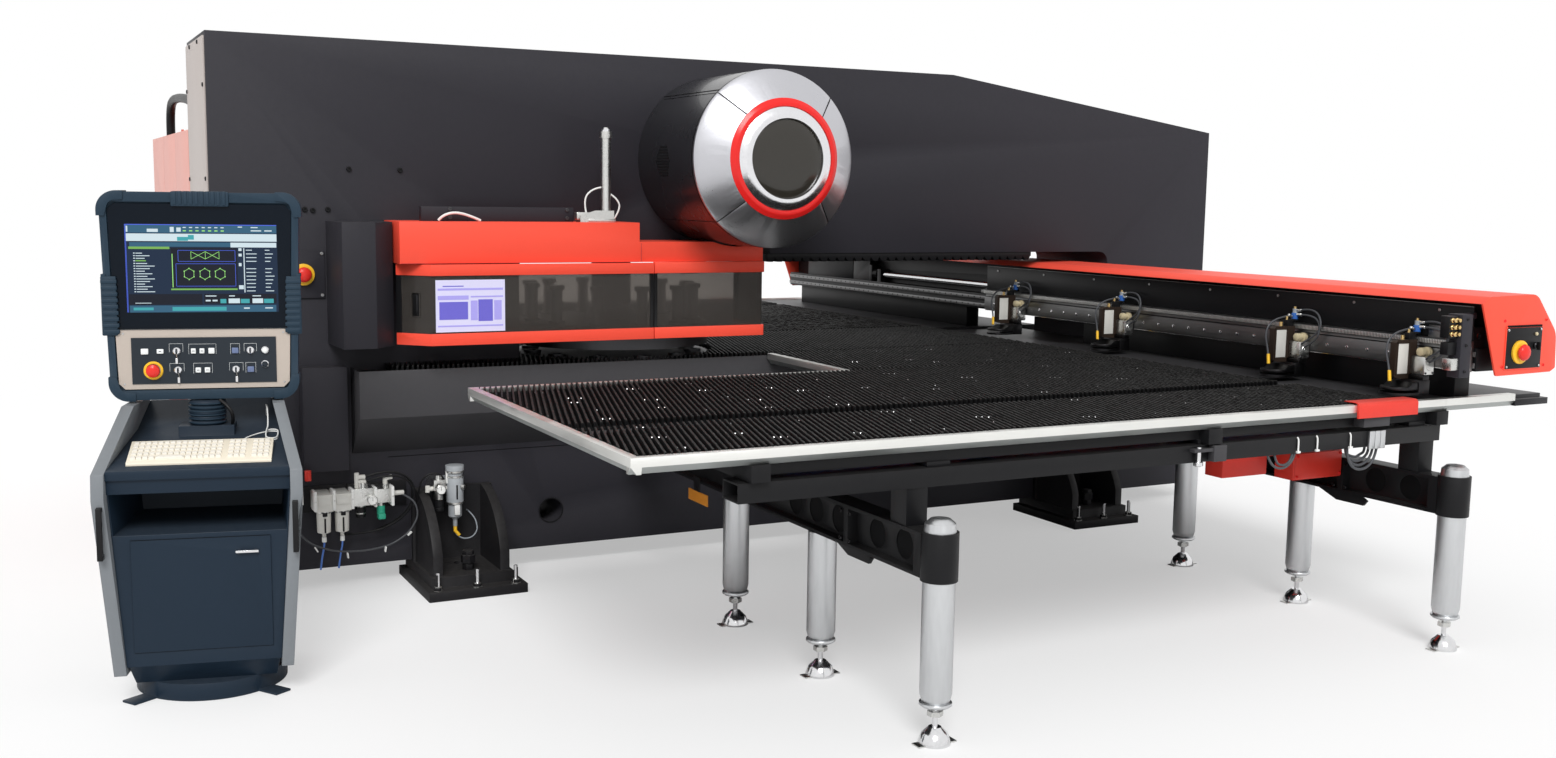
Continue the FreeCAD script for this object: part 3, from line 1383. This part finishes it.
def polyhedron(lower, upper):
    """Solid between two rings of matching corners; every side face is flat."""
    faces = [Part.Face(Part.makePolygon(ring + ring[:1])) for ring in (lower, upper)]
    for i in range(len(lower)):
        corners = [lower[i - 1], lower[i], upper[i], upper[i - 1], lower[i - 1]]
        faces.append(Part.Face(Part.makePolygon(corners)))
    solid = Part.Solid(Part.Shell(faces))
    if solid.Volume < 0:
        solid.reverse()
    return solid


def console_side_panels():
    """Pale side panels that flare to the desk, each with its black grip."""
    side = list(panel_edge) + [(console_back, panel_edge[3][1]), (console_back, panel_edge[0][1])]
    sheet = prism(side, "yz", -400, 400)
    panels = sheet.common(console_flare(0)).cut(console_flare(console_panel))
    grip_low, grip_high = 512.0, 686.0
    front = panel_edge[1][0]
    pieces = []
    for side, panel in zip((-1, 1), sorted(panels.Solids, key=lambda solid: solid.CenterOfMass.x)):
        x = side * (panel_levels[1][1] - console_panel / 2 - 6)
        grip = join([
            block(x - 9, x + 9, front - 26, front - 12, grip_low, grip_high),
            block(x - 9, x + 9, front - 26, front + 24, grip_low, grip_low + 16),
            block(x - 9, x + 9, front - 26, front + 24, grip_high - 16, grip_high),
        ])
        pieces.append(join([panel, grip]))
    return set_console(group(pieces))


def console_cabinet():
    """Console body: cupboard, open shelf, sloping desk, neck box, bellows, plinth and base plate."""
    front, back, t = console_front, console_back, console_wall
    section = [
        (front, body_bottom), (front, shelf_top), (front - 10, shelf_top), (front - 10, shelf_top + 48),
        (desk_front, shelf_top + 48), (desk_front, desk_front_height), (desk_back, desk_back_height),
        (back, rear_cover_height), (back, body_bottom),
    ]
    body = prism(section, "yz", -400, 400).common(console_flare(console_panel))
    inside = console_flare(console_panel + t)
    cupboard = block(-400, 400, front + t, back - t, body_bottom + t, shelf_bottom - t).common(inside)
    cavity = block(-400, 400, front - 1, back - 60, shelf_bottom, shelf_top).common(inside)
    doorway = block(-215, 215, front - 1, front + t + 1, 184, 556)
    body = body.cut(cupboard).cut(cavity).cut(doorway)
    neck_box = block(-92, 92, neck_y - 55, neck_y + 55, desk_height(neck_y - 55) - 20, neck_box_top)
    rib = (pendant_bottom - 0.6 - neck_box_top) / 5
    profile = [(0, neck_box_top)]
    for i in range(5):
        low = neck_box_top + i * rib
        profile += [(neck_radius - 8, low), (neck_radius, low + rib * 0.3), (neck_radius, low + rib * 0.7)]
    profile += [(neck_radius - 8, pendant_bottom - 0.6), (0, pendant_bottom - 0.6)]
    bellows = turned(profile, vec(0, neck_y, 0), vec(0, 0, 1))
    rings = []
    for z, inset, y_low, y_high in ((60, 54, -190, 200), (body_bottom, 44, front + 4, back - 20)):
        wide, narrow = [panel_levels[0][1] - inset - console_toe_in * (y - panel_edge[1][0])
                        for y in (y_low, y_high)]
        rings.append([vec(-wide, y_low, z), vec(wide, y_low, z), vec(narrow, y_high, z),
                      vec(-narrow, y_high, z)])
    plinth = polyhedron(*rings)
    plate = rod("z", (0, 0), console_plate_radius, 0, 60)
    tabs = []
    for side in (-1, 1):
        tab = block(-32, 32, -50, 50, 0, 8)
        tab.rotate(vec(0, 0, 0), vec(0, 0, 1), side * 45)
        tab.translate(vec(side * 212, -190, 0))
        tabs.append(tab)
    return set_console(join([body, neck_box, bellows, plinth, plate] + tabs))


def console_door():
    """Cupboard door with its small bar handle."""
    face = console_front - 5
    door = block(-220, 220, face, console_front - 0.6, 179, 561)
    handle = join([block(116, 176, face - 16, face - 10, 508, 518),
                   block(116, 124, face - 16, face, 508, 518),
                   block(168, 176, face - 16, face, 508, 518)])
    return set_console(join([door, handle]))


def pendant_half(z):
    """Half width of the tapered pendant at a height."""
    share = (z - pendant_bottom) / pendant_height
    return pendant_bottom_half + share * (pendant_top_half - pendant_bottom_half)


def pendant_outline(margin, low, high, radius):
    """Tapered four-sided outline, drawn in by margin at both sides."""
    bottom, top = pendant_half(low) - margin, pendant_half(high) - margin
    return [(-bottom, low, radius), (bottom, low, radius), (top, high, radius), (-top, high, radius)]


def pendant_housing():
    """Rubber-framed pendant: rounded tapered shell, corner bumpers and ribbed grips."""
    low, high, r = pendant_bottom, pendant_top, pendant_corner
    back = pendant_front + pendant_depth
    shell = prism(pendant_outline(7, low + 4, high - 4, r), "xz", pendant_front, back)
    recess = prism(pendant_outline(30, low + 38, high - 38, 22), "xz", pendant_front - 1,
                   pendant_front + 14)
    shell = shell.cut(recess)
    ribs = []
    for i in range(7):
        z = (low + high) / 2 - 72 + i * 24
        half = pendant_half(z)
        for side in (-1, 1):
            left, right = sorted((side * (half - 14), side * half))
            ribs.append(block(left, right, pendant_front - 5, back - 12, z - 6, z + 6))
        x = (i - 3) * 24
        ribs.append(block(x - 6, x + 6, pendant_front - 5, back - 12, high - 8, high))
    bumpers = []
    for side in (-1, 1):
        for z, up in ((low, -1), (high, 1)):
            x = side * pendant_half(z)
            bumpers.append(prism([
                (x, z, r), (x - side * 86, z), (x - side * 86, z - up * 30), (x - side * 40, z - up * 34, 26),
                (x - side * 26, z - up * 86), (x, z - up * 86),
            ], "xz", pendant_front - 6, back - 6))
    return set_console(join([shell] + ribs + bumpers))


def pendant_panel():
    """Glass, operating panel and its buttons, seated in the pendant's recess."""
    seat = pendant_front + 14
    glass_top = pendant_top - glass_drop
    split = glass_top - glass_height
    low = pendant_bottom + 42
    bottom, middle, top = pendant_half(low) - 34, pendant_half(split) - 34, pendant_half(glass_top) - 34
    glass = prism([(-middle, split), (middle, split), (top, glass_top, 27), (-top, glass_top, 27)],
                  "xz", seat - 8, seat)
    panel = prism([(-bottom, low, 27), (bottom, low, 27), (middle, split), (-middle, split)],
                  "xz", seat - 12, seat)
    face = seat - 15
    inset = block(-237, 237, face, seat - 12, split - 193, split - 32)
    upper, lower = split - 79, split - 146
    keys = []
    for x, z in ((-194, upper), (-36, upper), (-8, upper), (23, upper), (101, upper), (-22, lower),
                 (8, lower), (151, lower)):
        keys.append(block(x - 11, x + 11, face - 8, face, z - 11, z + 11))
    for x, z in ((-143, upper), (-91, upper), (151, upper), (200, upper), (-88, lower), (102, lower),
                 (199, lower + 18)):
        keys.append(rod("y", (x, z), 12, face - 12, face))
    x, z = console_stop
    panel = join([panel, inset, rod("y", (x, z), 28, face - 5, face)] + keys)
    bore = rod("y", (x, z), 8.5, face - 20, seat - 3)
    return set_console(group([glass, panel.cut(bore)]))


def e_stop_console():
    """Emergency stop of the console: the same mushroom at a smaller size."""
    x, z = console_stop
    face = pendant_front - 1 - 5
    head = turned([(0, 7), (20, 7), (23, 11), (21, 18), (12, 23), (0, 24)], vec(x, face, z), vec(0, -1, 0))
    stem = rod("y", (x, z), 8, face - 7, face + 8)
    return set_console(join([head, stem]))


def keyboard():
    """Wedge keyboard with its key rows, lying on the sloping desk."""
    front, back, half = keyboard_front, keyboard_back, keyboard_width / 2
    body = prism([
        (front, desk_height(front)), (back, desk_height(back)), (back, desk_height(back) + 24, 4),
        (front + 6, desk_height(front) + 12, 4), (front, desk_height(front) + 8),
    ], "yz", -half, half)
    rows = []
    for i in range(5):
        y = front + 20 + i * 27
        z = desk_height(y) + 14 + 2 * i
        rows.append(prism([(y, z - 4), (y + 22, z), (y + 22, z + 9), (y, z + 5)], "yz",
                          -half + 14, half - 14))
    return set_console(join([body] + rows))


def keyboard_cord():
    """White lead from the keyboard, coiled twice beside it, then up and into the rear cover."""
    left, right, high, low = 198.0, 238.0, 50.0, -14.0
    step = (right - left) * (1 - math.sqrt(0.5))
    run = 33.0
    flat = [(125, keyboard_back, 14), (125, keyboard_back + run, 14 - desk_slope * run), (140, 8, 5),
            (172, 44, 3.4), (left + 6, high + step, 3.4)]
    for turn, lift in enumerate((3.4, 10.0)):
        flat += [(left + step, high + step, lift)][:turn]
        flat += [
            (right - step, high + step, lift), (right, high, lift), (right, low, lift),
            (right - step, low - step, lift + 0.5), (left + step, low - step, lift + 1.2),
            (left, low, lift + 2.2), (left, high - 10 * turn, lift + 6.2),
        ]
    route = [(x, y, desk_height(y) + lift) for x, y, lift in flat]
    end_y = 175.0
    end_x = 192.0
    end = (end_x, end_y, desk_back_height + rear_slope * (end_y - desk_back))
    steep = math.atan(rear_slope)
    before = (end_x, end_y - 60 * math.sin(steep), end[2] + 60 * math.cos(steep))
    return set_console(tube(route + [(203, 66, 888), (200, 98, 950), before, end], cord_radius))


# ---------------------------------------------------------------- all sub-parts
def build_all():
    nodes = {
        "main_frame": main_frame, "end_cover": end_cover, "frame_feet": frame_feet,
        "drive_housings": drive_housings, "housing_face_segments": housing_face_segments,
        "housing_hub": housing_hub, "crankshaft": crankshaft, "ram": ram,
        "upper_turret": upper_turret, "punch_holders": punch_holders, "lower_turret": lower_turret,
        "turret_hood": turret_hood, "guard_door": guard_door, "guard_door_window": guard_door_window,
        "turret_side_guard": turret_side_guard, "side_guard_window": side_guard_window,
        "turret_column_cover": turret_column_cover, "hood_lift_unit": hood_lift_unit,
        "centre_table": centre_table, "centre_brushes": centre_brushes,
        "side_tables": side_tables, "side_brushes": side_brushes,
        "table_edge_profiles": table_edge_profiles, "table_underframe": table_underframe,
        "guide_beams": guide_beams, "support_arms": support_arms,
        "support_legs": support_legs, "levelling_feet": levelling_feet,
        "junction_boxes": junction_boxes, "carriage_beam": carriage_beam,
        "carriage_cover": carriage_cover,
        "carriage_plate": carriage_plate, "x_ball_screw": x_ball_screw,
        "e_stop_carriage": e_stop_carriage, "e_stop_frame": e_stop_frame,
        "frame_service_covers": frame_service_covers, "air_service_unit": air_service_unit,
        "air_hoses": air_hoses, "energy_chain": energy_chain, "control_cabinet": control_cabinet,
        "cabinet_conduit": cabinet_conduit, "console_cabinet": console_cabinet,
        "console_side_panels": console_side_panels, "console_door": console_door,
        "pendant_housing": pendant_housing, "pendant_panel": pendant_panel,
        "e_stop_console": e_stop_console, "keyboard": keyboard, "keyboard_cord": keyboard_cord,
    }
    for name, make in nodes.items():
        save(name, make())
    for index in range(cabinet_door_count):
        save("cabinet_door_%d" % (index + 1), cabinet_door(index))
    for index, y in enumerate(clamp_rows):
        save("clamp_%d" % (index + 1), clamp(y))
        save("clamp_jaw_%d" % (index + 1), clamp_jaw(y))


os.makedirs("parts", exist_ok=True)
build_all()
